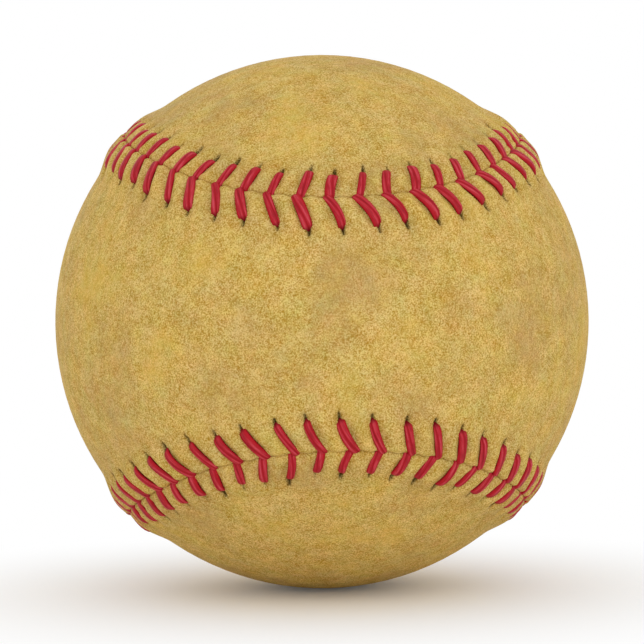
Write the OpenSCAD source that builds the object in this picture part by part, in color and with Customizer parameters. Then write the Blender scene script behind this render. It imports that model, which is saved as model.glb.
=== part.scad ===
// Baseball: cork and rubber centre, wound yarn, and a two-piece leather cover sewn with raised stitches.
// Origin at the centre of the ball, +Z up, with the waist of the front panel facing -Y.

/* [Core] */
// Diameter of the cork composite ball at the centre
cork_d = 20.6; // [16:0.1:24]
// Wall of the two black rubber half shells
inner_shell_wall = 4; // [3:0.1:5]
// Thickness of the rubber gasket between the half shells
gasket_t = 0.8; // [0.4:0.1:1.6]
// Wall of the red rubber layer moulded round the shells
outer_rubber_wall = 2.4; // [1.5:0.1:4]

/* [Windings] */
// Build-up of the first winding, four-ply grey wool
first_winding_t = 14.4; // [10:0.1:18]
// Build-up of the second winding, three-ply white wool
second_winding_t = 1.8; // [1:0.1:3]
// Build-up of the third winding, three-ply grey wool
third_winding_t = 2.2; // [1:0.1:3]
// Build-up of the fine cotton finishing winding
cotton_winding_t = 0.5; // [0.3:0.1:1]
// Thickness of the cement coat under the leather
cement_t = 0.1; // [0.05:0.05:0.3]

/* [Leather cover] */
// Thickness of the leather
leather_t = 1.3; // [1:0.1:2]
// Width of the slit between the two panels
seam_slit = 0.3; // [0.1:0.05:0.5]

/* [Seam] */
// Angle at the centre from the middle of a panel's waist to the seam
waist_angle = 25; // [24:0.5:26]
// Angular radius of the seam's arc round a lobe's tip
tip_angle = 42; // [41:0.5:43]
// Angular radius of the seam's arc along a lobe's flank
flank_angle = 60; // [56:0.5:64]

/* [Stitches] */
// Number of double stitches round the seam
stitch_count = 108; // [96:4:112]
// Diameter of the waxed thread
thread_d = 1.1; // [0.8:0.05:1.2]
// Distance from the seam to a row of thread holes
hole_reach = 3.8; // [3:0.1:4]
// Distance that a leg on the front panel leans back along the seam
front_lean = 2.2; // [1:0.1:2.6]
// Distance that a leg on the back panel leans back along the seam
back_lean = 0.9; // [0.5:0.1:2]
// Distance along the seam from the start of a front leg to the start of its partner
leg_step = 0.7; // [0:0.1:1]

/* [Fits] */
// Gap between neighbouring layers
layer_gap = 0.03; // [0.02:0.01:0.1]
// Gap between the thread and the leather round it
thread_gap = 0.1; // [0.05:0.01:0.15]

/* [Hidden] */
$fn = 96;

// Outer radius of each layer, from the core outwards
cork_r = cork_d / 2;
inner_shell_r = cork_r + layer_gap + inner_shell_wall;
outer_rubber_r = inner_shell_r + layer_gap + outer_rubber_wall;
first_winding_r = outer_rubber_r + layer_gap + first_winding_t;
second_winding_r = first_winding_r + layer_gap + second_winding_t;
third_winding_r = second_winding_r + layer_gap + third_winding_t;
cotton_winding_r = third_winding_r + layer_gap + cotton_winding_t;
cement_r = cotton_winding_r + layer_gap + cement_t;
leather_in_r = cement_r + layer_gap;
ball_r = leather_in_r + leather_t;

// Directions of the front panel: out through its waist, across the waist, and towards a lobe
out = [0, -1, 0];
across = [0, 0, 1];
along = [1, 0, 0];

function unit(v) = v / norm(v);
function square_to(v, axis) = unit(v - (v * axis) * axis);
function swing(v, axis, a) =
  (v * axis) * axis * (1 - cos(a)) + v * cos(a) + cross(axis, v) * sin(a);
function angle_between(axis, from, to) =
  acos(square_to(from, axis) * square_to(to, axis));
function half_turn(v) = 2 * (v * turn_dir) * turn_dir - v;
function flip_x(v) = [-v.x, v.y, v.z];
function flip_z(v) = [v.x, v.y, -v.z];
function frame(x, z, origin) =
  let(y = cross(z, x))
  [for (k = [0:2]) [x[k], y[k], z[k], origin[k]]];

// Seam: an arc round the lobe's tip runs into an arc along its flank, which turns over at turn_dir.
// The tip's arc touches the flank's arc from inside, and that sets where the flank's axis lies.
turn_dir = unit(across + along);
turn_side = unit(across - along);
waist_dir = cos(waist_angle) * out + sin(waist_angle) * across;
tip_axis = cos(waist_angle + tip_angle) * out + sin(waist_angle + tip_angle) * across;
touch_out = (tip_axis * out) * sin(flank_angle);
touch_side = (tip_axis * turn_side) * sin(flank_angle);
touch_rest = cos(flank_angle - tip_angle) - (tip_axis * turn_dir) * cos(flank_angle);
seam_slant = atan2(touch_out, touch_side) - acos(touch_rest / norm([touch_out, touch_side]));
flank_axis = cos(flank_angle) * turn_dir
  + sin(flank_angle) * (cos(seam_slant) * turn_side + sin(seam_slant) * out);
join_dir = cos(tip_angle) * tip_axis + sin(tip_angle) * square_to(tip_axis - flank_axis, tip_axis);

// Lengths of the seam, in degrees of arc on the ball
tip_length = angle_between(tip_axis, waist_dir, join_dir) * sin(tip_angle);
flank_length = angle_between(flank_axis, join_dir, turn_dir) * sin(flank_angle);
eighth = tip_length + flank_length;

// Direction of the seam's point and of its heading at a length along the seam
function seam_eighth(s) =
  let(
    on_tip = s < tip_length,
    axis = on_tip ? tip_axis : flank_axis,
    p = on_tip
      ? swing(waist_dir, tip_axis, s / sin(tip_angle))
      : swing(join_dir, flank_axis, (s - tip_length) / sin(flank_angle))
  )
  [p, unit(cross(axis, p))];
function seam_quarter(s) =
  s < eighth
    ? seam_eighth(s)
    : let(f = seam_eighth(2 * eighth - s)) [half_turn(f[0]), -half_turn(f[1])];
function seam_half(s) =
  s < 2 * eighth
    ? seam_quarter(s)
    : let(f = seam_quarter(4 * eighth - s)) [flip_z(f[0]), -flip_z(f[1])];
function seam(s) =
  s < 4 * eighth
    ? seam_half(s)
    : let(f = seam_half(8 * eighth - s)) [flip_x(f[0]), -flip_x(f[1])];

// Direction of a point beside the seam: ahead along the heading, and over towards the front panel
function beside_seam(f, ahead, over) =
  unit(f[0] + (ahead * f[1] + over * cross(f[1], f[0])) / ball_r);

// Stitch legs: each runs from the slit to its hole, on the front panel (side 1) or the back (side -1)
thread_r = thread_d / 2;
slit_reach = thread_r + thread_gap / 2;
seam_step = 8 * eighth / stitch_count;
function leg_ends(stitch, side) =
  let(
    f = seam((stitch + 0.5) * seam_step),
    start = side > 0 ? 0 : leg_step,
    lean = side > 0 ? front_lean : back_lean
  )
  [
    ball_r * beside_seam(f, start, side * slit_reach),
    ball_r * beside_seam(f, start + lean, side * hole_reach)
  ];
function leg_frame(ends) =
  frame(unit(ends[1] - ends[0]), unit(ends[0] + ends[1]), (ends[0] + ends[1]) / 2);

// Panel outline: a cone from the centre through points along the panel's edge, closed well outside the ball
edge_facets_per_stitch = 2;
edge_count = edge_facets_per_stitch * stitch_count;
cone_reach = 2.5;
cone_r = cone_reach * ball_r;
lobe_dir = half_turn(tip_axis);

// Length of the cutter of a thread hole, enough to pass through the leather anywhere
hole_cut = 4 * leather_t;

// How much an elbow of the thread swells past the straight parts that run into it
elbow_swell = thread_gap / 4;

// Tanned hide of both panels
leather_colour = "#c8a75e";

module hollow_ball(outer_r, inner_r) {
  difference() {
    sphere(outer_r);
    sphere(inner_r);
  }
}

module cork_core() {
  color("peru") sphere(cork_r);
}

// Half of the black shell, from the face of the gasket up
module half_shell() {
  gasket_face = gasket_t / 2 + layer_gap;
  color("dimgray")
    intersection() {
      hollow_ball(inner_shell_r, cork_r + layer_gap);
      translate([-inner_shell_r, -inner_shell_r, gasket_face]) cube(2 * inner_shell_r);
    }
}

module inner_shell_upper() {
  half_shell();
}

module inner_shell_lower() {
  mirror([0, 0, 1]) half_shell();
}

module shell_gasket() {
  color("indianred")
    intersection() {
      hollow_ball(inner_shell_r, cork_r + layer_gap);
      cube([2 * inner_shell_r, 2 * inner_shell_r, gasket_t], center = true);
    }
}

module outer_rubber_layer() {
  color("indianred") hollow_ball(outer_rubber_r, inner_shell_r + layer_gap);
}

module first_wool_winding() {
  color("slategray") hollow_ball(first_winding_r, outer_rubber_r + layer_gap);
}

module second_wool_winding() {
  color("whitesmoke") hollow_ball(second_winding_r, first_winding_r + layer_gap);
}

module third_wool_winding() {
  color("lightslategray") hollow_ball(third_winding_r, second_winding_r + layer_gap);
}

module cotton_winding() {
  color("ivory") hollow_ball(cotton_winding_r, third_winding_r + layer_gap);
}

module cement_coat() {
  color("beige") hollow_ball(cement_r, cotton_winding_r + layer_gap);
}

// Everything seen from the centre through the front panel's edge, out past the leather
module panel_cone() {
  edge_step = 8 * eighth / edge_count;
  edge = [for (i = [0:edge_count - 1]) beside_seam(seam((i + 0.5) * edge_step), 0, seam_slit / 2)];
  points = concat([[0, 0, 0], cone_r * out, cone_r * lobe_dir, cone_r * flip_x(lobe_dir)], cone_r * edge);
  function rim(i) = 4 + i % edge_count;
  function lobe(i) = edge[i % edge_count].x > 0 ? 2 : 3;
  walls = [for (i = [0:edge_count - 1]) [0, rim(i + 1), rim(i)]];
  caps = [
    for (i = [0:edge_count - 1])
      each lobe(i) == lobe(i + 1)
        ? [[lobe(i), rim(i), rim(i + 1)]]
        : [[lobe(i), rim(i), 1], [1, rim(i), rim(i + 1)], [1, rim(i + 1), lobe(i + 1)]]
  ];
  polyhedron(points, concat(walls, caps));
}

module panel_blank() {
  intersection() {
    hollow_ball(ball_r, leather_in_r);
    panel_cone();
  }
}

// Thread path at both ends of each leg on one panel, with room for the thread
module thread_holes(side) {
  for (stitch = [0:stitch_count - 1]) {
    ends = leg_ends(stitch, side);
    multmatrix(leg_frame(ends))
      for (end = [-1, 1])
        translate([end * norm(ends[1] - ends[0]) / 2, 0, 0])
          cylinder(h = hole_cut, d = thread_d + 2 * thread_gap, center = true);
  }
}

module cover_panel_front() {
  color(leather_colour)
    difference() {
      panel_blank();
      thread_holes(1);
    }
}

module cover_panel_back() {
  color(leather_colour)
    difference() {
      rotate(180, turn_dir) panel_blank();
      thread_holes(-1);
    }
}

// One leg: down through the slit, over the leather, and down through its hole
module stitch_leg(length) {
  leather_rise = ball_r - sqrt(ball_r ^ 2 - (length / 2) ^ 2);
  bar_z = leather_rise + thread_gap + thread_r;
  foot_z = -leather_t + thread_gap;
  translate([-length / 2, 0, bar_z]) rotate([0, 90, 0]) cylinder(h = length, r = thread_r);
  for (end = [-1, 1])
    translate([end * length / 2, 0, 0]) {
      translate([0, 0, foot_z]) cylinder(h = bar_z - foot_z, r = thread_r);
      translate([0, 0, bar_z]) sphere(thread_r + elbow_swell);
    }
}

// The two threads cross under the leather, so each makes every other leg on either panel
module stitch_thread(turn) {
  color("firebrick")
    for (stitch = [0:stitch_count - 1]) {
      side = (stitch + turn) % 2 == 0 ? 1 : -1;
      ends = leg_ends(stitch, side);
      multmatrix(leg_frame(ends)) stitch_leg(norm(ends[1] - ends[0]));
    }
}

module first_stitch_thread() {
  stitch_thread(0);
}

module second_stitch_thread() {
  stitch_thread(1);
}

cork_core();
inner_shell_upper();
inner_shell_lower();
shell_gasket();
outer_rubber_layer();
first_wool_winding();
second_wool_winding();
third_wool_winding();
cotton_winding();
cement_coat();
cover_panel_front();
cover_panel_back();
first_stitch_thread();
second_stitch_thread();
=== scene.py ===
import math

import bpy
import numpy as np
from mathutils import Matrix, Vector


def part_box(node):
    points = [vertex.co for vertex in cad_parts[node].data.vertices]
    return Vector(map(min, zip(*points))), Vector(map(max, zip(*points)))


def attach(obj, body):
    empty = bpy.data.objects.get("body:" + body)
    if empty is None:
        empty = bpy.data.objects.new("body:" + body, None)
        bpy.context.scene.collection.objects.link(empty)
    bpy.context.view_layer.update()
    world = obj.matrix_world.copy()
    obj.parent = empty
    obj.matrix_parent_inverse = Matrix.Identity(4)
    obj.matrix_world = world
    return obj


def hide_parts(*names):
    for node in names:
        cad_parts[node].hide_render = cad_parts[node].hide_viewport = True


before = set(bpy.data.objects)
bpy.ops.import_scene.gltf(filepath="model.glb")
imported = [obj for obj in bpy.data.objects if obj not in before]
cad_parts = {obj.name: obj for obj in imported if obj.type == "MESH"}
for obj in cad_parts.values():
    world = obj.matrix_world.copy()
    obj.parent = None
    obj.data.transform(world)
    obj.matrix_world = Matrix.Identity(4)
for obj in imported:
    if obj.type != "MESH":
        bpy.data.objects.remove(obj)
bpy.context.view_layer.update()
mm = 0.001
layerGap = 0.03 * mm  # between neighbouring layers
ballRadius = -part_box("cover_panel_front")[0].y
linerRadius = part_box("cement_coat")[1].x + layerGap  # inside of the leather
print("frame loaded, ball radius %.2f mm" % (ballRadius / mm))

# The seam of the cover is a loop of arcs that run smoothly into one another
seamShape = {
    "waistAngle": 25,  # half a panel's width at its waist, degrees on the ball
    "tipAngle": 42,  # radius of the arcs round the lobes
    "flankAngle": 60,  # radius of the arcs between the lobes
    "stitchCount": 108,
}


def unit(v):
    return v / np.linalg.norm(v, axis=-1, keepdims=True)


def swing(v, axis, angle):
    angle = np.asarray(angle)[..., None]
    lift = (v @ axis) * axis
    return lift * (1 - np.cos(angle)) + v * np.cos(angle) + np.cross(axis, v) * np.sin(angle)


def angleAbout(axis, first, second):
    a = unit(first - (first @ axis) * axis)
    b = unit(second - (second @ axis) * axis)
    return math.acos(float(np.clip(a @ b, -1, 1)))


out = np.array([0.0, -1.0, 0.0])  # middle of the front panel's waist
across = np.array([0.0, 0.0, 1.0])
along = np.array([1.0, 0.0, 0.0])
turnDir = unit(across + along)  # half a turn about it swaps the two panels
turnSide = unit(across - along)


def halfTurn(v):
    return 2 * (v @ turnDir)[..., None] * turnDir - v


def seamArcs(shape):
    waist, tip, flank = (math.radians(shape[k]) for k in ("waistAngle", "tipAngle", "flankAngle"))
    waistDir = math.cos(waist) * out + math.sin(waist) * across
    tipAxis = math.cos(waist + tip) * out + math.sin(waist + tip) * across
    # the slant at which the flank's arc just touches the tip's
    touchOut = (tipAxis @ out) * math.sin(flank)
    touchSide = (tipAxis @ turnSide) * math.sin(flank)
    touchRest = math.cos(flank - tip) - (tipAxis @ turnDir) * math.cos(flank)
    slant = math.atan2(touchOut, touchSide) - math.acos(touchRest / math.hypot(touchOut, touchSide))
    lean = math.cos(slant) * turnSide + math.sin(slant) * out
    flankAxis = math.cos(flank) * turnDir + math.sin(flank) * lean
    towards = tipAxis - flankAxis
    joinDir = math.cos(tip) * tipAxis + math.sin(tip) * unit(towards - (towards @ tipAxis) * tipAxis)
    return {
        "waistDir": waistDir, "tipAxis": tipAxis, "flankAxis": flankAxis, "joinDir": joinDir,
        "tip": tip, "flank": flank,
        "tipLength": angleAbout(tipAxis, waistDir, joinDir) * math.sin(tip),
        "flankLength": angleAbout(flankAxis, joinDir, turnDir) * math.sin(flank),
    }


arcs = seamArcs(seamShape)
eighth = arcs["tipLength"] + arcs["flankLength"]  # an eighth of the loop, in ball radii
stitchPitch = 8 * eighth * ballRadius / seamShape["stitchCount"]


# Unit points on the seam and the way it runs there, by share of the loop
def seamAt(share):
    s = (np.asarray(share) % 1.0) * 8 * eighth
    flipX = s > 4 * eighth
    s = np.where(flipX, 8 * eighth - s, s)
    flipZ = s > 2 * eighth
    s = np.where(flipZ, 4 * eighth - s, s)
    turned = s > eighth
    s = np.where(turned, 2 * eighth - s, s)
    onTip = (s < arcs["tipLength"])[..., None]
    tipPart = swing(arcs["waistDir"], arcs["tipAxis"], s / math.sin(arcs["tip"]))
    rest = (s - arcs["tipLength"]) / math.sin(arcs["flank"])
    flankPart = swing(arcs["joinDir"], arcs["flankAxis"], rest)
    point = np.where(onTip, tipPart, flankPart)
    heading = unit(np.where(onTip, np.cross(arcs["tipAxis"], point), np.cross(arcs["flankAxis"], point)))
    point = np.where(turned[..., None], halfTurn(point), point)
    heading = np.where(turned[..., None], -halfTurn(heading), heading)
    for flip, mirror in ((flipZ, np.array([1, 1, -1])), (flipX, np.array([-1, 1, 1]))):
        point = np.where(flip[..., None], point * mirror, point)
        heading = np.where(flip[..., None], -heading * mirror, heading)
    return point, heading


# A unit point beside the seam; over is positive on the front panel
def besideSeam(share, ahead, over):
    point, heading = seamAt(share)
    step = np.asarray(ahead)[..., None] * heading + np.asarray(over)[..., None] * np.cross(heading, point)
    return unit(point + step / ballRadius)


# Node tree helpers
def feed(tree, socket, value):
    if isinstance(value, bpy.types.NodeSocket):
        tree.links.new(value, socket)
    else:
        socket.default_value = value


def feedAll(tree, node, inputs):
    for name, value in inputs.items():
        feed(tree, node.inputs[name], value)


def addNode(tree, kind, inputs=None, **settings):
    node = tree.nodes.new(kind)
    for name, value in settings.items():
        setattr(node, name, value)
    feedAll(tree, node, inputs or {})
    return node


def geo(tree, kind, inputs=None, **settings):
    return addNode(tree, "GeometryNode" + kind, inputs, **settings).outputs[0]


def calc(tree, operation, *values, kind="ShaderNodeMath"):
    node = addNode(tree, kind, operation=operation)
    for socket, value in zip(node.inputs, values):
        feed(tree, socket, value)
    return node.outputs[0]


def times(tree, *values):
    return calc(tree, "MULTIPLY", *values)


def timesPlus(tree, *values):
    return calc(tree, "MULTIPLY_ADD", *values)


def minus(tree, *values):
    return calc(tree, "SUBTRACT", *values)


def ratio(tree, *values):
    return calc(tree, "DIVIDE", *values)


def vectorCalc(tree, operation, *values):
    return calc(tree, operation, *values, kind="ShaderNodeVectorMath")


def combine(tree, x, y, z):
    return addNode(tree, "ShaderNodeCombineXYZ", {"X": x, "Y": y, "Z": z}).outputs[0]


def scaled(tree, vector, amount):
    values = {0: vector, "Scale": amount}
    return addNode(tree, "ShaderNodeVectorMath", values, operation="SCALE").outputs["Vector"]


def ease(tree, value, low, high, start=0.0, end=1.0):
    values = {"Value": value, "From Min": low, "From Max": high, "To Min": start, "To Max": end}
    return addNode(tree, "ShaderNodeMapRange", values, interpolation_type="SMOOTHSTEP").outputs["Result"]


# The Mix node's sockets share their names, so they go by number
def blendColour(tree, share, first, second, mode="MIX"):
    values = {0: share, 6: first, 7: second}
    return addNode(tree, "ShaderNodeMix", values, data_type="RGBA", blend_type=mode).outputs[2]


def noise(tree, vector, scale, detail=2.0, roughness=0.5, output="Fac"):
    values = {"Vector": vector, "Scale": scale, "Detail": detail, "Roughness": roughness}
    return addNode(tree, "ShaderNodeTexNoise", values).outputs[output]


def newGroup(name, kind, inputs, outputs):
    tree = bpy.data.node_groups.new(name, kind)
    for label, socketKind, value in inputs:
        socket = tree.interface.new_socket(label, in_out="INPUT", socket_type="NodeSocket" + socketKind)
        if value is not None:
            socket.default_value = value
    for label, socketKind in outputs:
        tree.interface.new_socket(label, in_out="OUTPUT", socket_type="NodeSocket" + socketKind)
    return tree, tree.nodes.new("NodeGroupInput").outputs, tree.nodes.new("NodeGroupOutput")


def sizeSockets(sizes):
    kinds = {int: "Int", float: "Float"}
    return [(name, kinds[type(value)], value) for name, value in sizes.items()]


# A colour as a screen shows it, 0 to 255
def shade(red, green, blue):
    def linear(c):
        c = c / 255
        return c / 12.92 if c <= 0.04045 else ((c + 0.055) / 1.055) ** 2.4
    return (linear(red), linear(green), linear(blue), 1.0)


# Speckle, patches and pores that leather, cork, rubber and cement all show at their own scale
mottleShape = {
    "fineNoise": (1.0, 0.6),  # detail and roughness
    "clumpScale": 0.28,  # coarser grain beside the finest
    "clumpShare": 0.29,  # and how much it counts
    "cloudScale": 0.08,
    "cloudShare": 0.25,
    "patchNoise": (4.0, 0.6),
    "poreScale": 0.5,
    "poreDepth": 0.5,
    "hueScale": 3.4,  # spots of stray colour beside the patches
    "hueNoise": (4.0, 0.75),
    "hueStray": (0.42, 0.16, 0.9),  # red, green and blue each stray by themselves
}


def makeMottle(shape):
    tree, given, result = newGroup(
        "mottledTone", "ShaderNodeTree",
        [("Vector", "Vector", None), ("Grain Size", "Float", 0.25 * mm), ("Patch Size", "Float", 8 * mm)],
        [("Grain", "Float"), ("Patch", "Float"), ("Height", "Float"), ("Tint", "Color")])
    place = given["Vector"]
    grainScale = ratio(tree, 1.0, given["Grain Size"])
    patchScale = ratio(tree, 1.0, given["Patch Size"])
    fine = noise(tree, place, grainScale, *shape["fineNoise"])
    grain = fine
    for name in ("clump", "cloud"):
        coarse = noise(tree, place, times(tree, grainScale, shape[name + "Scale"]))
        grain = timesPlus(tree, minus(tree, coarse, 0.5), shape[name + "Share"], grain)
    poreScale = times(tree, grainScale, shape["poreScale"])
    pores = addNode(tree, "ShaderNodeTexVoronoi", {"Vector": place, "Scale": poreScale, "Randomness": 1.0})
    hueScale = times(tree, patchScale, shape["hueScale"])
    hues = noise(tree, place, hueScale, *shape["hueNoise"], "Color")
    stray = vectorCalc(tree, "SUBTRACT", hues, (0.5, 0.5, 0.5))
    feedAll(tree, result, {
        "Grain": grain,
        "Patch": noise(tree, place, patchScale, *shape["patchNoise"]),
        "Height": timesPlus(tree, pores.outputs["Distance"], shape["poreDepth"], fine),
        "Tint": vectorCalc(tree, "MULTIPLY_ADD", stray, shape["hueStray"], (1, 1, 1))})
    return tree


# Fibres laid along a strand and slanting round it
fibreShape = {
    "alongScale": 2.2,
    "aroundScale": 14.0,
    "pickStep": 37.0,  # moves each leg's fibres to another part of the noise
    "noise": (3.0, 0.6),
}


def makeYarnPly(shape):
    sizes = {"Along": 0.0, "Around": 0.0, "Ply Count": 2.0, "Twist": 2.0, "Pick": 0.0}
    tree, given, result = newGroup(
        "yarnPly", "ShaderNodeTree", sizeSockets(sizes), [("Ply", "Float"), ("Fibre", "Float")])
    slant = timesPlus(tree, given["Along"], given["Twist"], given["Around"])
    turns = times(tree, slant, times(tree, given["Ply Count"], 2 * math.pi))
    ply = timesPlus(tree, calc(tree, "SINE", turns), 0.5, 0.5)
    spot = combine(
        tree, times(tree, given["Along"], shape["alongScale"]), times(tree, slant, shape["aroundScale"]),
        times(tree, given["Pick"], shape["pickStep"]))
    feedAll(tree, result, {"Ply": ply, "Fibre": noise(tree, spot, 1.0, *shape["noise"])})
    return tree


mottledTone = makeMottle(mottleShape)
yarnPly = makeYarnPly(fibreShape)


def newMaterial(name):
    material = bpy.data.materials.new(name)
    material.use_nodes = True
    tree = material.node_tree
    return material, tree, tree.nodes["Principled BSDF"]


def attribute(tree, name):
    return addNode(tree, "ShaderNodeAttribute", attribute_name=name).outputs["Fac"]


def bump(tree, surface, height, strength, distance):
    node = addNode(tree, "ShaderNodeBump", {"Height": height, "Strength": strength, "Distance": distance})
    feed(tree, surface.inputs["Normal"], node.outputs["Normal"])


def mottleOn(tree, look):
    place = addNode(tree, "ShaderNodeTexCoord").outputs["Object"]
    values = {"Vector": place, "Grain Size": look["grainSize"], "Patch Size": look["patchSize"]}
    return addNode(tree, "ShaderNodeGroup", values, node_tree=mottledTone).outputs


# A span is where a change begins and ends, and its strength at both
leatherLook = {
    "dark": shade(172, 130, 39),
    "light": shade(232, 203, 125),
    "dull": shade(181, 146, 92),  # patches where handling has dulled the dye
    "golden": shade(217, 181, 84),  # and where it is still bright
    "stainAndShade": shade(50, 43, 10),  # wax and dirt in the needle holes, and the colour of the painted shade in them, in the seam's gap and beside the legs
    "grainSize": 0.19 * mm,
    "patchSize": 11 * mm,
    "grainSpan": (0.24, 0.76),
    "dullSpan": (0.45, 0.75, 0, 0.5),
    "goldenSpan": (0.25, 0.5, 0.5, 0),
    "grimeSpan": (0.5 * mm, 2.6 * mm, 0.07, 0),  # painted shade, with some grime, beside a leg, by distance from it
    "slitSpan": (0.02 * mm, 0.16 * mm, 0.05, 0),  # painted shade in the gap between the panels, by distance from the seam
    "smudgeSpan": (0.15 * mm, 0.8 * mm, 0.3, 0),  # away from a needle hole
    # painted shade in the needle holes, with wax and dirt, by distance from a hole
    "holeSpan": (0.1 * mm, 0.48 * mm, 0.86, 0),
    "holeStray": 0.4 * mm,  # how ragged the rims of the holes are
    "roughSpan": (0.2, 0.8, 0.78, 0.6),
    "specular": 0.05,
    "bump": (0.3, 0.05 * mm),  # strength and depth
}


def makeCoverLeather(look):
    material, tree, surface = newMaterial("coverLeather")
    mottle = mottleOn(tree, look)
    grain = mottle["Grain"]
    colour = blendColour(tree, ease(tree, grain, *look["grainSpan"]), look["dark"], look["light"])
    for tone in ("dull", "golden"):
        share = ease(tree, mottle["Patch"], *look[tone + "Span"])
        colour = blendColour(tree, share, colour, look[tone])
    colour = blendColour(tree, 1.0, colour, mottle["Tint"], "MULTIPLY")
    ragged = timesPlus(tree, minus(tree, grain, 0.5), look["holeStray"], attribute(tree, "holeReach"))
    # the stain-and-shade colour: painted shade and grime beside the legs, painted shade in the seam's gap,
    # a smudge of dirt round each hole, and painted shade with dirt in it
    reaches = {
        "grime": attribute(tree, "legReach"), "slit": attribute(tree, "seamOver"),
        "smudge": ragged, "hole": ragged}
    for mark, reach in reaches.items():
        colour = blendColour(tree, ease(tree, reach, *look[mark + "Span"]), colour, look["stainAndShade"])
    feedAll(tree, surface, {
        "Base Color": colour, "Roughness": ease(tree, grain, *look["roughSpan"]),
        "Specular IOR Level": look["specular"]})
    bump(tree, surface, mottle["Height"], *look["bump"])
    return material


threadLook = {
    # deep is the thread's darkest red, and also the colour of its painted shade
    "deep": shade(112, 4, 16),
    "crimson": shade(180, 22, 36),
    "wornHighlight": shade(216, 88, 100),  # painted highlight on the ridges, partly where the wax has rubbed off
    "twist": 0.14,  # turns that the two strands make round each other along a leg
    "grooveStray": 0.12,  # how far the line between them strays from leg to leg, in turns
    "fibreSpan": (0.25, 0.55, 0.45, 1),
    "grooveSpan": (0.0, 0.035, 1, 0),  # away from that line, in turns
    # painted shade, with some grime, on the line between the strands
    "grooveShade": 0.4,
    "grooveDepth": -0.7,
    "ridgeRise": (0.02, 0.08),  # the painted highlight, partly rubbed wax, on the ridge beside the line
    "ridgeFall": (0.09, 0.2, 1, 0),
    "wornHighlightSpan": (0.4, 0.7, 0.1, 0.7),
    "sideShadeSpan": (0.2, 0.28, 0, 0.8),  # painted shade down the sides, in turns from the top
    "startShadeSpan": (0, 0.07, 0.6, 0),  # and painted shadow at both ends of a leg, where it dives into the leather
    "endShadeSpan": (0.89, 0.98, 0, 0.8),
    "roughSpan": (0.3, 0.7, 0.45, 0.62),
    "specular": 0.14,
    "bump": (0.4, 0.1 * mm),
}


def makeWaxedThread(look):
    material, tree, surface = newMaterial("waxedThread")
    names = ("strandAlong", "strandAround", "legPick")
    strandAlong, strandAround, legPick = (attribute(tree, name) for name in names)
    values = {"Along": strandAlong, "Around": strandAround, "Pick": legPick, "Twist": look["twist"]}
    fibre = addNode(tree, "ShaderNodeGroup", values, node_tree=yarnPly).outputs["Fibre"]
    # 0 on the line between the strands, a quarter at the thread's sides
    slant = timesPlus(tree, minus(tree, strandAlong, 0.5), look["twist"], strandAround)
    middle = timesPlus(tree, minus(tree, legPick, 0.5), look["grooveStray"], slant)
    fromGroove = calc(tree, "ABSOLUTE", minus(tree, middle, 0.5))
    fromTop = calc(tree, "ABSOLUTE", minus(tree, strandAround, 0.5))
    groove = ease(tree, fromGroove, *look["grooveSpan"])
    rise, fall = (ease(tree, fromGroove, *look[name]) for name in ("ridgeRise", "ridgeFall"))
    wornHighlight = times(tree, times(tree, rise, fall), ease(tree, fibre, *look["wornHighlightSpan"]))
    sideShade = ease(tree, fromTop, *look["sideShadeSpan"])
    start, end = (ease(tree, strandAlong, *look[name]) for name in ("startShadeSpan", "endShadeSpan"))
    colour = blendColour(tree, ease(tree, fibre, *look["fibreSpan"]), look["deep"], look["crimson"])
    colour = blendColour(tree, wornHighlight, colour, look["wornHighlight"])
    # painted shade: in the line between the strands, down the sides and at both ends
    for dark in (times(tree, groove, look["grooveShade"]), sideShade, calc(tree, "ADD", start, end)):
        colour = blendColour(tree, dark, colour, look["deep"])
    feedAll(tree, surface, {
        "Base Color": colour, "Roughness": ease(tree, fibre, *look["roughSpan"]),
        "Specular IOR Level": look["specular"]})
    bump(tree, surface, timesPlus(tree, groove, look["grooveDepth"], fibre), *look["bump"])
    return material


coverLeather = makeCoverLeather(leatherLook)
waxedThread = makeWaxedThread(threadLook)
print("leather and thread materials made")

# Moulded and poured stuff inside the ball: two tones of grain, and a third where it is patchy
coreLooks = {
    "corkComposite": {
        "dark": shade(104, 68, 36), "light": shade(196, 148, 96), "patch": shade(70, 46, 28),
        "grainSize": 0.7 * mm, "patchSize": 2.4 * mm, "roughness": (0.72, 0.92), "bump": 0.25 * mm},
    "blackRubber": {
        "dark": shade(20, 20, 21), "light": shade(44, 44, 45), "patch": shade(58, 57, 55),
        "grainSize": 0.35 * mm, "patchSize": 6 * mm, "roughness": (0.5, 0.72), "bump": 0.03 * mm},
    "redRubber": {
        "dark": shade(122, 34, 28), "light": shade(172, 62, 50), "patch": shade(186, 96, 82),
        "grainSize": 0.35 * mm, "patchSize": 7 * mm, "roughness": (0.48, 0.7), "bump": 0.03 * mm},
    "latexCement": {
        "dark": shade(196, 180, 142), "light": shade(226, 214, 182), "patch": shade(172, 150, 108),
        "grainSize": 0.5 * mm, "patchSize": 9 * mm, "roughness": (0.3, 0.6), "bump": 0.08 * mm},
}
coreParts = {
    "cork_core": "corkComposite",
    "inner_shell_upper": "blackRubber",
    "inner_shell_lower": "blackRubber",
    "shell_gasket": "redRubber",
    "outer_rubber_layer": "redRubber",
    "cement_coat": "latexCement",
}
mouldedFinish = {
    "grainSpan": (0.3, 0.7),
    "patchSpan": (0.52, 0.7, 0, 0.7),
    "bumpStrength": 0.6,
}


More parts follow.
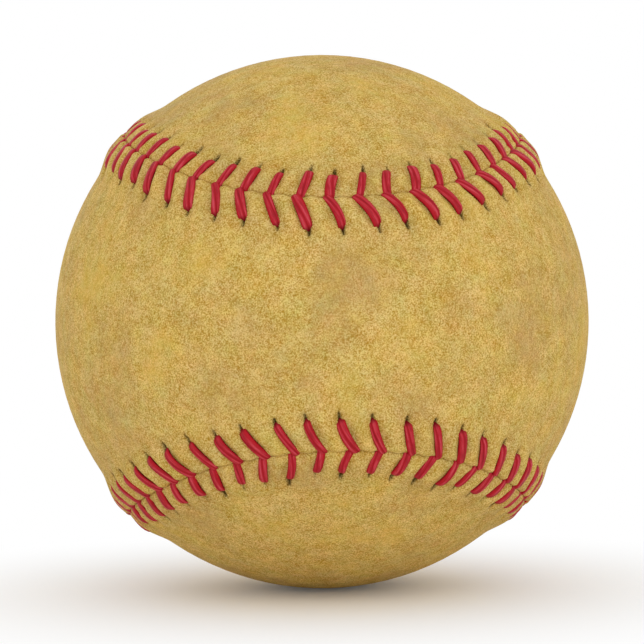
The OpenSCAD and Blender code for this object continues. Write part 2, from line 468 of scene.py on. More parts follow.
def makeMoulded(name, look, finish):
    material, tree, surface = newMaterial(name)
    mottle = mottleOn(tree, look)
    grain = mottle["Grain"]
    colour = blendColour(tree, ease(tree, grain, *finish["grainSpan"]), look["dark"], look["light"])
    colour = blendColour(tree, ease(tree, mottle["Patch"], *finish["patchSpan"]), colour, look["patch"])
    colour = blendColour(tree, 1.0, colour, mottle["Tint"], "MULTIPLY")
    roughness = ease(tree, grain, *finish["grainSpan"], *look["roughness"])
    feedAll(tree, surface, {"Base Color": colour, "Roughness": roughness})
    bump(tree, surface, mottle["Height"], finish["bumpStrength"], look["bump"])
    return material


coreMaterials = {name: makeMoulded(name, look, mouldedFinish) for name, look in coreLooks.items()}
for node, name in coreParts.items():
    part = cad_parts[node]
    part.data.materials.clear()
    part.data.materials.append(coreMaterials[name])
print("core dressed in %d materials" % len(coreMaterials))

# Yarn: the plies twist round each other, with painted shade between them and painted light on their crowns,
# and loose fibres lighten them
yarnLooks = {
    "greyWool": {"dark": shade(92, 94, 98), "light": shade(160, 160, 158), "plies": 4, "twist": 0.16},
    "whiteWool": {"dark": shade(178, 172, 158), "light": shade(238, 234, 222), "plies": 3, "twist": 0.18},
    "cottonYarn": {"dark": shade(196, 184, 156), "light": shade(242, 236, 220), "plies": 2, "twist": 0.25},
}
yarnFinish = {
    "plyShadeShare": 0.55,  # how much the painted shade and light of the plies count, beside the yarn's fibres
    "fibreShift": 0.25,
    "roughSpan": (0.3, 0.7, 0.8, 0.95),
    "sheen": 0.25,
    "bump": (0.7, 0.15 * mm),
}


def makeYarn(name, look, finish):
    material, tree, surface = newMaterial(name)
    ply = addNode(tree, "ShaderNodeGroup", {
        "Along": attribute(tree, "strandAlong"), "Around": attribute(tree, "strandAround"),
        "Ply Count": look["plies"], "Twist": look["twist"] / look["plies"]}, node_tree=yarnPly).outputs
    # the plies' painted shade and light, and the fibres' own tone
    tone = timesPlus(tree, ply["Ply"], finish["plyShadeShare"], minus(tree, ply["Fibre"], finish["fibreShift"]))
    feedAll(tree, surface, {
        "Base Color": blendColour(tree, tone, look["dark"], look["light"]),
        "Roughness": ease(tree, ply["Fibre"], *finish["roughSpan"]), "Sheen Weight": finish["sheen"]})
    bump(tree, surface, tone, *finish["bump"])
    return material


# Each stitch has a long leg on the front panel and a short one on the back panel
stitchPlan = {
    "frontStart": (0.02 * mm, -0.35 * mm),  # ahead along the seam, over from it
    "frontEnd": (2.4 * mm, 4.2 * mm),
    "frontLift": (0.52 * mm, 0.22 * mm),  # height of the thread's middle over the ball at its two ends
    "frontBow": 0.17 * mm,
    "backStart": (0.66 * mm, 0.25 * mm),
    "backEnd": (1.6 * mm, -3.75 * mm),
    "backLift": (0.35 * mm, 0.04 * mm),
    "backBow": -0.05 * mm,
    "holeStart": -0.3 * mm,  # from the leg's end to where the needle hole begins and ends
    "holeEnd": 0.64 * mm,
    "holeVary": 0.15 * mm,
    "holeTaper": 0.14 * mm,  # how much narrower the hole is at its far end
    "holeSquare": 1.5,  # how far the hole turns from its leg's way to straight away from the seam
    "frontSlim": 0.12 * mm,  # the most that a hole is drawn shut
    "backSlim": 0.27 * mm,
    "lengthVary": 0.22 * mm,
    "aheadVary": 0.16 * mm,
    "bowVary": 0.17 * mm,
    "widthVary": 0.11,
    "widthLimit": 0.16,
    "seed": 108,
}


def layLegs(plan):
    draw = np.random.default_rng(plan["seed"])
    count = seamShape["stitchCount"]
    apex = (np.arange(count) + 0.5) / count
    limit = plan["widthLimit"]
    legs = {}
    for side, name in ((1, "front"), (-1, "back")):
        startAhead, startOver = plan[name + "Start"]
        endAhead, endOver = plan[name + "End"]
        endAhead = endAhead + draw.normal(0, plan["aheadVary"], count)
        endOver = endOver + side * draw.normal(0, plan["lengthVary"], count)
        startAhead = startAhead + draw.normal(0, plan["aheadVary"] / 2, count)
        past = unit(np.stack([endAhead - startAhead, endOver - startOver], 1))
        past = unit(past + [[0.0, side * plan["holeSquare"]]])
        tip = np.stack([endAhead, endOver], 1)
        holeEnd = (plan["holeEnd"] + draw.normal(0, plan["holeVary"], count))[:, None]
        startLift, endLift = plan[name + "Lift"]
        legs[name] = {
            "start": besideSeam(apex, startAhead, np.full(count, startOver)) * (ballRadius + startLift),
            "end": besideSeam(apex, endAhead, endOver) * (ballRadius + endLift),
            "holeStart": besideSeam(apex, *(tip + past * plan["holeStart"]).T),
            "holeEnd": besideSeam(apex, *(tip + past * holeEnd).T),
            "bow": plan[name + "Bow"] + draw.normal(0, plan["bowVary"], count),
            "kind": np.full(count, side < 0),
            "width": 1 + np.clip(draw.normal(0, plan["widthVary"], count), -limit, limit),
            "pick": draw.random(count),
        }
    for name, own in legs.items():
        own["slim"] = draw.random(count) * plan[name + "Slim"]
    return legs


legs = layLegs(stitchPlan)


# Distance from points to the nearest of the stitches' short lines, longer for slim lines and tapered ends
def reachTo(points, cell, starts, ends, slim=0.0, taper=0.0, neighbours=3):
    reach = np.full(len(points), np.inf)
    count = len(starts)
    slim = np.broadcast_to(slim, count)
    for shift in range(-neighbours, neighbours + 1):
        pick = (cell + shift) % count
        a = starts[pick]
        line = ends[pick] - a
        t = np.einsum("ij,ij->i", points - a, line) / np.einsum("ij,ij->i", line, line)
        t = np.clip(t, 0, 1)
        near = a + line * t[:, None]
        reach = np.minimum(reach, np.linalg.norm(points - near, axis=1) + slim[pick] + taper * t)
    return reach


# The two leather panels are grids that run along the seam and close up on a line down the middle
panelGrid = {
    "edge": 0.01 * mm,  # half the seam's slit
    "lipRows": 5,
    "lip": 0.7 * mm,
    "legRows": 8,
    "holeFrom": 3.5 * mm,
    "holeRows": 9,
    "holeTo": 5.2 * mm,
    "weltRows": 4,
    "weltTo": 7.2 * mm,
    "fieldRows": 11,
    "holeSteps": 4,  # columns each side of a needle hole
    "holeHalf": 0.44 * mm,
    "openSteps": 7,  # and from there to halfway to the next
    "fieldStep": 4,  # the field and the flesh side keep one column in so many
    "spineEnd": 125,  # the middle line ends here, in degrees from the waist's middle
    "spineAtFlank": 90,
    "otherShare": 0.1,  # how much of the other panel's legs lies over this panel
}


def panelRows(grid):
    return np.concatenate([
        np.linspace(grid["edge"], grid["lip"], grid["lipRows"], endpoint=False),
        np.linspace(grid["lip"], grid["holeFrom"], grid["legRows"], endpoint=False),
        np.linspace(grid["holeFrom"], grid["holeTo"], grid["holeRows"], endpoint=False),
        np.linspace(grid["holeTo"], grid["weltTo"], grid["weltRows"]),
    ])


def panelColumns(grid):
    close = np.linspace(0, grid["holeHalf"], grid["holeSteps"] + 1)
    wide = np.linspace(grid["holeHalf"], stitchPitch / 2, grid["openSteps"] + 2)[1:-1]
    half = np.concatenate([close, wide]) / stitchPitch
    return np.concatenate([-half[:0:-1], half, [0.5]])


# Middle line of a panel as the front one lies, by share of the loop
def spineAt(share, grid):
    fold = np.abs((share * 2 + 0.5) % 1.0 - 0.5) * 2  # 0 at a waist, 1 at a lobe's end
    atFlank = grid["spineAtFlank"] / grid["spineEnd"]
    slope = 4 * atFlank - 1  # has the angle pass through atFlank half way
    angle = math.radians(grid["spineEnd"]) * (slope * fold + (1 - slope) * fold ** 2)
    side = np.where((share % 1.0) < 0.5, 1.0, -1.0)
    return np.stack([np.sin(angle) * side, -np.cos(angle), np.zeros_like(angle)], 1)


def slerp(a, b, share):
    angle = np.arccos(np.clip(np.einsum("ij,ij->i", a, b), -1, 1))[:, None]
    return (a * np.sin((1 - share) * angle) + b * np.sin(share * angle)) / np.sin(angle)


def buildPanel(name, side, grid):
    count = seamShape["stitchCount"]
    phases = panelColumns(grid)
    lattice = ((np.arange(count)[:, None] + phases).ravel()) / count
    own, other = (legs[key] for key in (("front", "back") if side > 0 else ("back", "front")))
    holeAhead = stitchPlan["frontEnd" if side > 0 else "backEnd"][0] / stitchPitch
    shift = side * (0.5 + holeAhead) % 1.0  # the dense columns run through the holes
    shift = (shift - 1 if shift > 0.5 else shift) / count
    point, heading = seamAt(lattice + shift)
    inward = np.cross(heading, point)
    offsets = panelRows(grid)
    spine = spineAt(lattice, grid)
    rows, over, skin, sparse = [], [], [], []

    def addRow(direction, radius, distance, relief, coarse):
        rows.append(direction * radius)
        over.append(np.full(len(direction), distance))
        skin.append(np.full(len(direction), relief))
        sparse.append(coarse)

    def beside(offset):
        return point * math.cos(offset / ballRadius) + inward * math.sin(offset / ballRadius)

    # from the panel's middle out to the seam, down its edge, and back under the leather
    last = beside(offsets[-1])
    fractions = np.linspace(1, 0, grid["fieldRows"], endpoint=False)
    for f in fractions:
        addRow(slerp(last, spine, f), ballRadius, offsets[-1] + f * grid["weltTo"], 1.0, True)
    for offset in offsets[::-1]:
        addRow(beside(offset), ballRadius, offset, 1.0, False)
    addRow(beside(grid["edge"]), (ballRadius + linerRadius) / 2, 0.0, 0.0, False)
    addRow(beside(grid["edge"]), linerRadius, 0.0, 0.0, False)
    for offset in (offsets[-1] / 2, offsets[-1]):
        addRow(beside(offset), linerRadius, offset, 0.0, True)
    for f in fractions[::-1]:
        addRow(slerp(last, spine, f), linerRadius, offsets[-1] + f * grid["weltTo"], 0.0, True)

    total = len(lattice)
    index = np.arange(len(rows) * total).reshape(len(rows), total)
    # the column that meets each one from the other side of the middle line
    mirror = (total // 2 + len(phases) - 2 - np.arange(total)) % total
    ends = np.flatnonzero(mirror == np.arange(total))  # of the line down the middle
    step = grid["fieldStep"]
    for row in (0, -1):
        index[row] = np.minimum(index[row], index[row][mirror])
        index[row][ends] = index[row][ends - step]
    thinned = np.arange(total) // step * step + step - 1
    index[sparse] = index[sparse][:, thinned]
    following = np.roll(index, -1, axis=1)
    faces = np.stack([index[:-1], following[:-1], following[1:], index[1:]], -1).reshape(-1, 4)
    points = np.concatenate(rows)
    if side < 0:
        points = halfTurn(points)
    kept, faces = np.unique(faces, return_inverse=True)
    points = points[kept]
    cell = np.floor((np.tile(lattice + shift, len(rows))[kept]) * count).astype(int)  # nearest stitch
    if side < 0:
        cell = count // 4 - 1 - cell  # the half turn counts the stitches backwards
    onBall = unit(points) * ballRadius
    ways = (own["start"], own["end"], other["start"])
    legStart, legEnd, otherStart = (unit(way) * ballRadius for way in ways)
    otherAway = otherStart + (unit(other["end"]) * ballRadius - otherStart) * grid["otherShare"]
    ownReach = reachTo(onBall, cell, legStart, legEnd)
    otherReach = reachTo(onBall, cell, otherStart, otherAway)
    values = {
        "seamOver": np.concatenate(over)[kept],
        "skin": np.concatenate(skin)[kept],
        "legReach": np.minimum(ownReach, otherReach),
        "holeReach": reachTo(
            onBall, cell, own["holeStart"] * ballRadius, own["holeEnd"] * ballRadius, own["slim"],
            stitchPlan["holeTaper"]),
    }
    return meshObject(name, points, dropRepeats(faces.reshape(-1, 4)), values)


# Where columns run together, faces lose a corner or vanish
def dropRepeats(faces):
    loops = ([v for k, v in enumerate(face) if v != face[k - 1]] for face in faces.tolist())
    return [loop for loop in loops if len(loop) > 2]


def meshObject(name, points, faces, values):
    mesh = bpy.data.meshes.new(name)
    mesh.from_pydata(points.tolist(), [], faces)
    for label, numbers in values.items():
        kind, field = ("FLOAT_VECTOR", "vector") if np.ndim(numbers) == 2 else ("FLOAT", "value")
        layer = mesh.attributes.new(label, kind, "POINT")
        layer.data.foreach_set(field, np.ravel(numbers).astype(np.float32))
    piece = bpy.data.objects.new(name, mesh)
    bpy.context.scene.collection.objects.link(piece)
    return piece


# Runs a tree on a piece with its sizes set, and leaves a plain mesh
def applyTree(piece, tree, sizes):
    modifier = piece.modifiers.new(tree.name, "NODES")
    modifier.node_group = tree
    for item in tree.interface.items_tree:
        if item.in_out == "INPUT" and item.name in sizes:
            modifier[item.identifier] = sizes[item.name]
    seen = bpy.context.evaluated_depsgraph_get()
    seen.update()
    plain = bpy.data.meshes.new_from_object(piece.evaluated_get(seen), depsgraph=seen)
    piece.modifiers.remove(modifier)
    old = piece.data
    piece.data = plain
    bpy.data.meshes.remove(old)
    plain.name = piece.name


# A tree that takes a piece's sizes and material, and how such a tree ends
def newShaper(name, sizes):
    geometry = ("Geometry", "Geometry")
    inputs = [(*geometry, None), *sizeSockets(sizes), ("Material", "Material", None)]
    return newGroup(name, "GeometryNodeTree", inputs, [geometry])


def finishShaper(tree, geometry, given, result):
    smooth = geo(tree, "SetShadeSmooth", {"Geometry": geometry})
    whole = geo(tree, "RealizeInstances", {"Geometry": smooth})
    dressed = geo(tree, "SetMaterial", {"Geometry": whole, "Material": given["Material"]})
    feedAll(tree, result, {"Geometry": dressed})


def read(tree, name, kind="FLOAT"):
    return geo(tree, "InputNamedAttribute", {"Name": name}, data_type=kind)


def keep(tree, geometry, name, value):
    values = {"Geometry": geometry, "Name": name, "Value": value}
    return geo(tree, "StoreNamedAttribute", values, data_type="FLOAT")


# Drawn up by the thread, the leather swells into pillows between the legs, with a crease along the seam
reliefSizes = {
    "Welt Height": 1.05 * mm,
    "Shoulder": 2.4 * mm,  # from the seam to where the pillows begin to fall away
    "Welt Reach": 7.0 * mm,
    "Crease Depth": 0.36 * mm,
    "Crease Reach": 0.65 * mm,
    "Groove Depth": 0.64 * mm,
    "Groove Floor": 0.4 * mm,  # half the groove's width where it is deepest
    "Groove Reach": 1.4 * mm,
    "Groove Start": 0.6,  # share of the groove's depth at the seam
    "Groove Full": 1.5 * mm,  # from the seam to where it has its whole depth
    "Groove Beyond": 0.3,  # share of its depth beyond the pillows
    "Hole Depth": 0.6 * mm,
    "Hole Floor": 0.05 * mm,
    "Hole Reach": 0.42 * mm,
    "Unevenness": 0.05 * mm,
    "Uneven Size": 9 * mm,
}
backRelief = {  # the short legs draw the back panel up less
    "Welt Height": 0.88 * mm, "Shoulder": 2.0 * mm, "Welt Reach": 6.8 * mm, "Groove Depth": 0.52 * mm}


def makeLeatherRelief(sizes):
    tree, given, result = newShaper("leatherRelief", sizes)
    over = read(tree, "seamOver")
    short = minus(tree, 1.0, calc(tree, "MINIMUM", ratio(tree, over, given["Crease Reach"]), 1.0))
    crease = times(tree, times(tree, short, short), given["Crease Depth"])
    swell = ease(tree, over, given["Shoulder"], given["Welt Reach"], 1, 0)
    groove, hole = (
        ease(tree, read(tree, name), given[dip + " Floor"], given[dip + " Reach"], given[dip + " Depth"], 0)
        for dip, name in (("Groove", "legReach"), ("Hole", "holeReach")))
    beyond = given["Groove Beyond"]
    groove = times(tree, groove, timesPlus(tree, swell, minus(tree, 1.0, beyond), beyond))
    groove = times(tree, groove, ease(tree, over, 0.0, given["Groove Full"], given["Groove Start"], 1))
    position = geo(tree, "InputPosition")
    lumps = noise(tree, position, ratio(tree, 1.0, given["Uneven Size"]))
    lumps = times(tree, lumps, given["Unevenness"])
    height = times(tree, swell, given["Welt Height"])
    for cut in (crease, groove, hole, lumps):
        height = minus(tree, height, cut)
    height = times(tree, height, read(tree, "skin"))
    offset = scaled(tree, vectorCalc(tree, "NORMALIZE", position), height)
    moved = geo(tree, "SetPosition", {"Geometry": given["Geometry"], "Offset": offset})
    finishShaper(tree, moved, given, result)
    return tree


leatherRelief = makeLeatherRelief(reliefSizes)
for name, side, node, own in (
    ("coverPanelFront", 1, "cover_panel_front", {}),
    ("coverPanelBack", -1, "cover_panel_back", backRelief),
):
    panel = buildPanel(name, side, panelGrid)
    applyTree(panel, leatherRelief, {"Material": coverLeather, **own})
    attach(panel, "root")
    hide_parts(node)
    print("%s has %d faces" % (name, len(panel.data.polygons)))

# One leg of a stitch is two strands side by side that dive into the leather at both ends
threadSizes = {
    "Height": 0.82 * mm,
    "Notch": 0.13,
    "Notch Width": 0.5,
    "Arch": 0.4 * mm,
    "Arch Lean": 1.4,  # 1 has the arch highest half way along, more leans it to the outer end
    "End Dive": 0.75 * mm,
    "Dive Power": 9.0,  # more has the ends dive later and more steeply
    "Narrow Power": 2.6,  # and narrow later
    "Round End": 0.12,  # share of the leg that each end takes to round off
    "Least End": 0.3,
    "Rings": 12,
    "Sides": 10,
}
frontLegSizes = {
    "Width": 1.32 * mm, "Start Dive": 0.42 * mm, "Start Width": 0.94, "Fullest": 0.5, "End Width": 0.94}
backLegSizes = {
    "Width": 1.21 * mm, "Start Dive": 0.3 * mm, "Start Width": 1.0, "Fullest": 0.5, "End Width": 0.88}


def makeStitchLeg(sizes):
    outputs = [("Leg", "Geometry")]
    tree, given, result = newGroup("stitchLeg", "GeometryNodeTree", sizeSockets(sizes), outputs)

    # the middle line runs from 0 to 1 along X, with rings closer together at its ends
    index = geo(tree, "InputIndex")
    share = ratio(tree, index, minus(tree, given["Rings"], 1.0))
    swept = calc(tree, "SINE", timesPlus(tree, share, math.pi, -math.pi / 2))
    way = timesPlus(tree, swept, 0.5, 0.5)
    values = {0: calc(tree, "GREATER_THAN", way, 0.5), 2: given["Start Dive"], 3: given["End Dive"]}
    depth = addNode(tree, "ShaderNodeMix", values, data_type="FLOAT").outputs[0]
    dive = times(tree, calc(tree, "POWER", calc(tree, "ABSOLUTE", swept), given["Dive Power"]), depth)
    leaning = timesPlus(tree, calc(tree, "POWER", way, given["Arch Lean"]), 2.0, -1.0)
    crown = minus(tree, 1.0, times(tree, leaning, leaning))
    height = minus(tree, times(tree, crown, given["Arch"]), dive)
    line = geo(tree, "MeshLine", {"Count": given["Rings"]})
    line = geo(tree, "SetPosition", {"Geometry": line, "Position": combine(tree, way, 0.0, height)})
    path = geo(tree, "MeshToCurve", {"Mesh": keep(tree, line, "strandAlong", way)})
    path = geo(tree, "SetCurveNormal", {"Curve": path}, mode="Z_UP")

    # the section is flattened, with a notch between the strands
    around = geo(tree, "SplineParameter")
    turned = timesPlus(tree, around, 2 * math.pi, math.pi / 2)  # half way round is on top
    sideways = calc(tree, "COSINE", turned)
    notch = ease(tree, calc(tree, "ABSOLUTE", sideways), 0.0, given["Notch Width"], given["Notch"], 0)
    upward = times(tree, calc(tree, "SINE", turned), minus(tree, 1.0, notch))
    bent = combine(
        tree, times(tree, sideways, times(tree, given["Width"], 0.5)),
        times(tree, upward, times(tree, given["Height"], 0.5)), 0.0)
    section = geo(tree, "CurvePrimitiveCircle", {"Resolution": given["Sides"], "Radius": 1.0})
    section = geo(tree, "SetPosition", {
        "Geometry": keep(tree, section, "strandAround", around), "Position": bent})

    # its size swells from the start, narrows to the end and rounds off at both
    ownWay = read(tree, "strandAlong")
    swell = ease(tree, ownWay, 0.0, given["Fullest"], given["Start Width"], 1.0)
    past = ratio(tree, minus(tree, ownWay, given["Fullest"]), minus(tree, 1.0, given["Fullest"]))
    past = calc(tree, "POWER", calc(tree, "MAXIMUM", past, 0.0), given["Narrow Power"])
    narrowing = times(tree, minus(tree, 1.0, given["End Width"]), past)
    toEnd = calc(tree, "MINIMUM", ownWay, minus(tree, 1.0, ownWay))
    toEnd = calc(tree, "MINIMUM", ratio(tree, toEnd, given["Round End"]), 1.0)
    blunt = minus(tree, 1.0, toEnd)
    blunt = calc(tree, "SQRT", minus(tree, 1.0, times(tree, blunt, blunt)))
    blunt = calc(tree, "MAXIMUM", blunt, given["Least End"])
    width = times(tree, minus(tree, swell, narrowing), blunt)
    values = {"Curve": path, "Profile Curve": section, "Scale": width, "Fill Caps": True}
    feedAll(tree, result, {"Leg": geo(tree, "CurveToMesh", values)})
    return tree


stitchLeg = makeStitchLeg({**threadSizes, **frontLegSizes})


def makeStitchRow(sizes):
    tree, given, result = newShaper("stitchRow", sizes)
    shared = {name: given[name] for name in sizes}
    pair = addNode(tree, "GeometryNodeGeometryToInstance")
    for own in (backLegSizes, frontLegSizes):  # the last one joined becomes the first instance
        leg = addNode(tree, "GeometryNodeGroup", {**shared, **own}, node_tree=stitchLeg)
        feed(tree, pair.inputs[0], leg.outputs[0])
    turn = addNode(tree, "FunctionNodeEulerToRotation", {"Euler": read(tree, "legTurn", "FLOAT_VECTOR")})
    width = read(tree, "legWidth")
    size = combine(tree, read(tree, "legLength"), width, width)
    many = geo(tree, "InstanceOnPoints", {
        "Points": given["Geometry"], "Instance": pair.outputs[0], "Pick Instance": True,
        "Instance Index": read(tree, "legKind"), "Rotation": turn.outputs[0], "Scale": size})
    whole = geo(tree, "RealizeInstances", {"Geometry": many})
    middle = timesPlus(tree, read(tree, "strandAlong"), 2.0, -1.0)
    sway = minus(tree, 1.0, times(tree, middle, middle))
    sway = times(tree, sway, read(tree, "legBow"))
    bowed = geo(tree, "SetPosition", {
        "Geometry": whole, "Offset": scaled(tree, read(tree, "legSide", "FLOAT_VECTOR"), sway)})
    finishShaper(tree, bowed, given, result)
    return tree


def legPoints(name, turn):
    labels = {"legWidth": "width", "legBow": "bow", "legPick": "pick", "legKind": "kind"}
    starts = []
    values = {label: [] for label in ("legTurn", "legSide", "legLength", *labels)}
    for stitch in range(seamShape["stitchCount"]):
        own = legs["front" if (stitch + turn) % 2 == 0 else "back"]
        start, end = own["start"][stitch], own["end"][stitch]
        ahead = unit(end - start)
        outward = unit(start + end)
        sideways = unit(np.cross(outward, ahead))
        outward = np.cross(ahead, sideways)
        turnMatrix = Matrix(np.stack([ahead, sideways, outward], 1).tolist())
        starts.append(start)
        values["legTurn"].append(list(turnMatrix.to_euler()))
        values["legSide"].append(sideways)
        values["legLength"].append(float(np.linalg.norm(end - start)))
        for label, key in labels.items():
            values[label].append(own[key][stitch])
    values = {label: np.array(numbers) for label, numbers in values.items()}
    return meshObject(name, np.array(starts), [], values)


stitchRow = makeStitchRow(threadSizes)
for turn, name, node in (
    (0, "firstStitchThread", "first_stitch_thread"),
    (1, "secondStitchThread", "second_stitch_thread"),
):
    thread = legPoints(name, turn)
    applyTree(thread, stitchRow, {"Material": waxedThread})
    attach(thread, "root")
    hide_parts(node)
    print("%s has %d faces" % (name, len(thread.data.polygons)))

# Each winding is one long yarn: every turn goes round the ball, and its plane tips and turns as it goes on
windings = {
    "first_wool_winding": {
        "piece": "firstWoolWinding", "over": "outer_rubber_layer", "look": "greyWool",
        "slot": "grey_wool", "yarn": 1.7 * mm, "turns": 150, "seed": 1},
    "second_wool_winding": {
        "piece": "secondWoolWinding", "over": "first_wool_winding", "look": "whiteWool",
        "slot": "white_wool", "yarn": 1.3 * mm, "turns": 190, "seed": 2},
    "third_wool_winding": {
        "piece": "thirdWoolWinding", "over": "second_wool_winding", "look": "greyWool",
        "slot": "grey_wool", "yarn": 1.3 * mm, "turns": 190, "seed": 3},
    "cotton_winding": {
        "piece": "cottonWinding", "over": "third_wool_winding", "look": "cottonYarn",
        "slot": "cotton_yarn", "yarn": 0.48 * mm, "turns": 430, "seed": 4},
}
windingSizes = {
    "Inner Radius": 15 * mm,
    "Outer Radius": 30 * mm,
    "Yarn": 1.5 * mm,
    "Turns": 150,
    "Turn Points": 36,
    "Sides": 5,
    "Plane Turn": 137.51,  # degrees that each turn's plane moves on
    "Level": 0.96,  # how nearly level the first turns lie, 1 for quite level
    "Sink": 0.45,  # how far under the others a turn may lie, in yarn widths
    "Weave": 1.7,  # how often it rises and sinks in a turn
    "Packed": 0.75,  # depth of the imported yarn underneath, in yarn widths
    "Ball Detail": 5,
    "Seed": 1,
    "Seed Step": 57.0,
}


def makeWoundYarn(sizes):
    tree, given, result = newShaper("woundYarn", sizes)
    index = geo(tree, "InputIndex")
    turn = ratio(tree, index, given["Turn Points"])
    angle = times(tree, turn, 2 * math.pi)
    share = ratio(tree, turn, given["Turns"])
    # how far the turn's plane tips from level: spread so that the turns cover the ball evenly
    tip = calc(tree, "ARCCOSINE", times(tree, minus(tree, 1.0, share), given["Level"]))
    turnAround = times(tree, turn, calc(tree, "RADIANS", given["Plane Turn"]))
    rise = calc(tree, "SINE", angle)
    spot = combine(
        tree, calc(tree, "COSINE", angle), times(tree, rise, calc(tree, "COSINE", tip)),
        times(tree, rise, calc(tree, "SINE", tip)))
    spot = addNode(tree, "ShaderNodeVectorRotate", {
        "Vector": spot, "Angle": turnAround}, rotation_type="Z_AXIS").outputs[0]
    weave = addNode(tree, "ShaderNodeTexNoise", {
        "W": timesPlus(tree, turn, given["Weave"], times(tree, given["Seed"], given["Seed Step"])),
        "Scale": 1.0, "Detail": 0.0}, noise_dimensions="1D").outputs["Fac"]
    sink = times(tree, weave, times(tree, given["Sink"], given["Yarn"]))
    half = times(tree, given["Yarn"], 0.5)
    radius = minus(tree, minus(tree, given["Outer Radius"], half), sink)
    line = geo(tree, "MeshLine", {"Count": times(tree, given["Turns"], given["Turn Points"])})
    line = geo(tree, "SetPosition", {"Geometry": line, "Position": scaled(tree, spot, radius)})
    length = ratio(tree, times(tree, angle, given["Outer Radius"]), given["Yarn"])
    path = geo(tree, "MeshToCurve", {"Mesh": keep(tree, line, "strandAlong", length)})
    section = geo(tree, "CurvePrimitiveCircle", {"Resolution": given["Sides"], "Radius": half})
    section = keep(tree, section, "strandAround", geo(tree, "SplineParameter"))
    yarn = geo(tree, "CurveToMesh", {"Curve": path, "Profile Curve": section, "Fill Caps": True})

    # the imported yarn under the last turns, hollow round what it is wound on
    packed = minus(tree, given["Outer Radius"], times(tree, given["Yarn"], given["Packed"]))
    outerBall, innerBall = (geo(tree, "MeshIcoSphere", {
        "Radius": size, "Subdivisions": given["Ball Detail"]}) for size in (packed, given["Inner Radius"]))
    innerBall = geo(tree, "FlipFaces", {"Mesh": innerBall})
    joined = addNode(tree, "GeometryNodeJoinGeometry")
    for part in (innerBall, outerBall, yarn):
        feed(tree, joined.inputs[0], part)
    finishShaper(tree, joined.outputs[0], given, result)
    return tree


woundYarn = makeWoundYarn(windingSizes)
yarnMaterials = {name: makeYarn(name, look, yarnFinish) for name, look in yarnLooks.items()}
for node, plan in windings.items():
    winding = meshObject(plan["piece"], np.zeros((1, 3)), [], {})
    applyTree(winding, woundYarn, {
        "Inner Radius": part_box(plan["over"])[1].x + layerGap, "Outer Radius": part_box(node)[1].x,
        "Yarn": plan["yarn"], "Turns": plan["turns"], "Seed": plan["seed"],
        "Material": yarnMaterials[plan["look"]]})
    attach(winding, "root")
    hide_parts(node)
    print("%s has %d faces" % (plan["piece"], len(winding.data.polygons)))

# The photograph's camera stands a little to the left of the front panel's middle and almost level with it
photoView = {
    "distance": 8.5,  # in ball radii
    "turn": (0.57, -0.82, 3.89),  # degrees about X, Y and Z that bring the ball to face the camera
    "ballAcross": 533.8,  # pixels across the ball in the picture
    "below": -0.4,  # pixels that the ball's middle lies under the picture's
    "picture": 644,
    "sensor": 36,  # millimetres
    "nearest": 0.01,
}


def placeCamera(view):
    data = bpy.data.cameras.new("photoCamera")
    camera = bpy.data.objects.new("photoCamera", data)
    bpy.context.scene.collection.objects.link(camera)
    rx, ry, rz = (math.radians(a) for a in view["turn"])
    facing = Matrix.Rotation(rz, 3, "Z") @ Matrix.Rotation(ry, 3, "Y") @ Matrix.Rotation(rx, 3, "X")
    right, forward, up = facing  # its rows are the camera's own axes
    distance = view["distance"] * ballRadius
    limb = math.tan(math.asin(1 / view["distance"]))  # slope of the sight line that grazes the ball
    focal = view["ballAcross"] / 2 / limb
    data.sensor_width = view["sensor"]
    data.lens = focal * view["sensor"] / view["picture"]
    spot = -forward * distance + up * (view["below"] * distance / focal)
    turn = Matrix((right, up, -forward)).transposed().to_4x4()
    camera.matrix_world = Matrix.Translation(spot) @ turn
    data.clip_start = view["nearest"]
    bpy.context.scene.camera = camera


placeCamera(photoView)

lightPlan = {
    "worldStrength": 0.82,
    "lamps": {  # place in metres, power in watts, width of the soft box
        "softKey": ((0.22, -0.78, 0.5), 0.6, 0.7),
        "lowFill": ((0.08, -0.7, 0.0), 0.95, 0.5),
        "backFill": ((-0.2, 0.8, 0.35), 0.7, 0.7),
    },
    "floorHalf": 3.0,
    "floorColour": shade(252, 252, 251),
    "floorRoughness": 0.9,
    "floorSpecular": 0.1,
    "fadeSpan": (0.03, 0.085),  # from the ball outwards the floor turns into plain white
    "white": (1, 1, 1, 1),
}


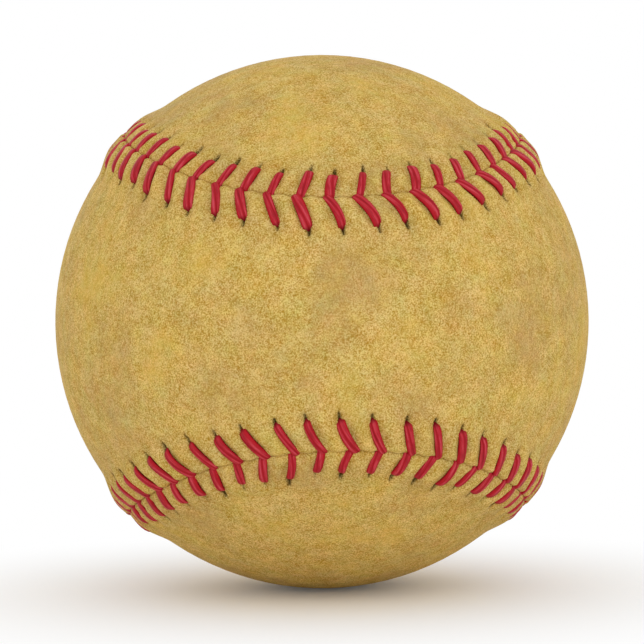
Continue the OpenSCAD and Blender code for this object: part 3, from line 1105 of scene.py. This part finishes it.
# 1 for the rays that show a thing to the eye, straight or by way of another piece
def seenRays(tree):
    rays = addNode(tree, "ShaderNodeLightPath").outputs
    seen = calc(tree, "MAXIMUM", rays["Is Camera Ray"], rays["Is Transmission Ray"])
    return calc(tree, "MAXIMUM", seen, rays["Is Glossy Ray"])


def makeSky(plan):
    scene = bpy.context.scene
    scene.view_settings.view_transform = "Standard"
    scene.world = bpy.data.worlds.new("studio")
    scene.world.use_nodes = True
    tree = scene.world.node_tree
    sky = tree.nodes["Background"]
    strength = addNode(tree, "ShaderNodeMapRange", {
        "Value": seenRays(tree), "To Min": plan["worldStrength"], "To Max": 1.0})
    feedAll(tree, sky, {"Strength": strength.outputs["Result"], "Color": plan["white"]})


def makeLamps(plan):
    for name, (place, power, width) in plan["lamps"].items():
        lamp = bpy.data.lights.new(name, "AREA")
        lamp.energy = power
        lamp.size = width
        box = bpy.data.objects.new(name, lamp)
        bpy.context.scene.collection.objects.link(box)
        spot = Vector(place)
        box.matrix_world = Matrix.Translation(spot) @ spot.to_track_quat("Z", "Y").to_matrix().to_4x4()


def makeFloor(plan):
    corners = np.array([[-1, -1, 0], [1, -1, 0], [1, 1, 0], [-1, 1, 0]]) * plan["floorHalf"]
    floor = meshObject("paleFloor", corners - [0, 0, ballRadius], [[0, 1, 2, 3]], {})
    material, tree, surface = newMaterial("paleFloor")
    feedAll(tree, surface, {
        "Base Color": plan["floorColour"], "Roughness": plan["floorRoughness"],
        "Specular IOR Level": plan["floorSpecular"]})
    glow = addNode(tree, "ShaderNodeEmission", {"Color": plan["white"], "Strength": 1.0})
    place = addNode(tree, "ShaderNodeTexCoord").outputs["Object"]
    away = addNode(tree, "ShaderNodeVectorMath", {0: place}, operation="LENGTH").outputs["Value"]
    fade = ease(tree, away, *plan["fadeSpan"])
    both = addNode(tree, "ShaderNodeMixShader", {
        "Fac": times(tree, fade, seenRays(tree)), 1: surface.outputs[0], 2: glow.outputs[0]})
    feed(tree, tree.nodes["Material Output"].inputs["Surface"], both.outputs[0])
    floor.data.materials.append(material)


makeSky(lightPlan)
makeLamps(lightPlan)
makeFloor(lightPlan)
print("camera, light and floor placed")
